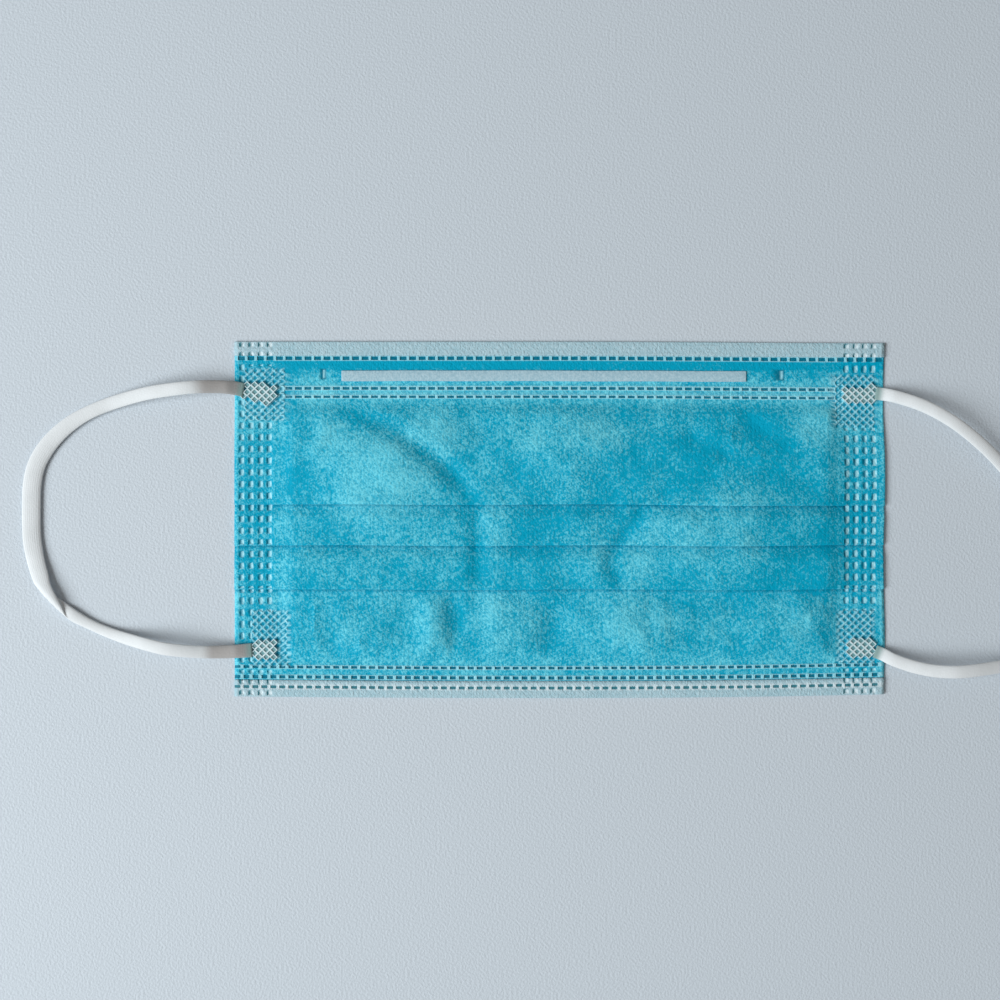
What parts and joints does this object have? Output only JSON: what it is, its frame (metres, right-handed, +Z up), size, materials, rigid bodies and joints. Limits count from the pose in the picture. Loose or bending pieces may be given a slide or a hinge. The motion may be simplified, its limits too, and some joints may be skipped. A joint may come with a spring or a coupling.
{
  "type": "surgical face mask",
  "caption": "Flat pleated three-ply face mask with welded side seals, turned hems, a nose strip and flat elastic ear loops, lying face up.",
  "frame": {"origin": "middle of the panel's underside, on the surface that the mask lies on", "axes": "+X along the mask to the right loop, +Y to the nose edge, +Z up from the surface, out of the blue face"},
  "size_m": [0.2866, 0.0954, 0.0064],
  "materials": {
    "outer_nonwoven": "light blue spunbond nonwoven, matte",
    "inner_nonwoven": "white spunbond nonwoven, matte",
    "strip_plastic": "white plastic-covered wire strip, matte",
    "elastic_band": "soft white elastic band, matte"
  },
  "bodies": {
    "root": {"pleated_body": "outer_nonwoven", "top_hem": "inner_nonwoven", "bottom_hem": "inner_nonwoven", "nose_strip": "strip_plastic", "upper_left_weld": "elastic_band", "lower_left_weld": "elastic_band", "upper_right_weld": "elastic_band", "lower_right_weld": "elastic_band", "left_ear_loop": "elastic_band", "right_ear_loop": "elastic_band"}
  },
  "joints": []
}
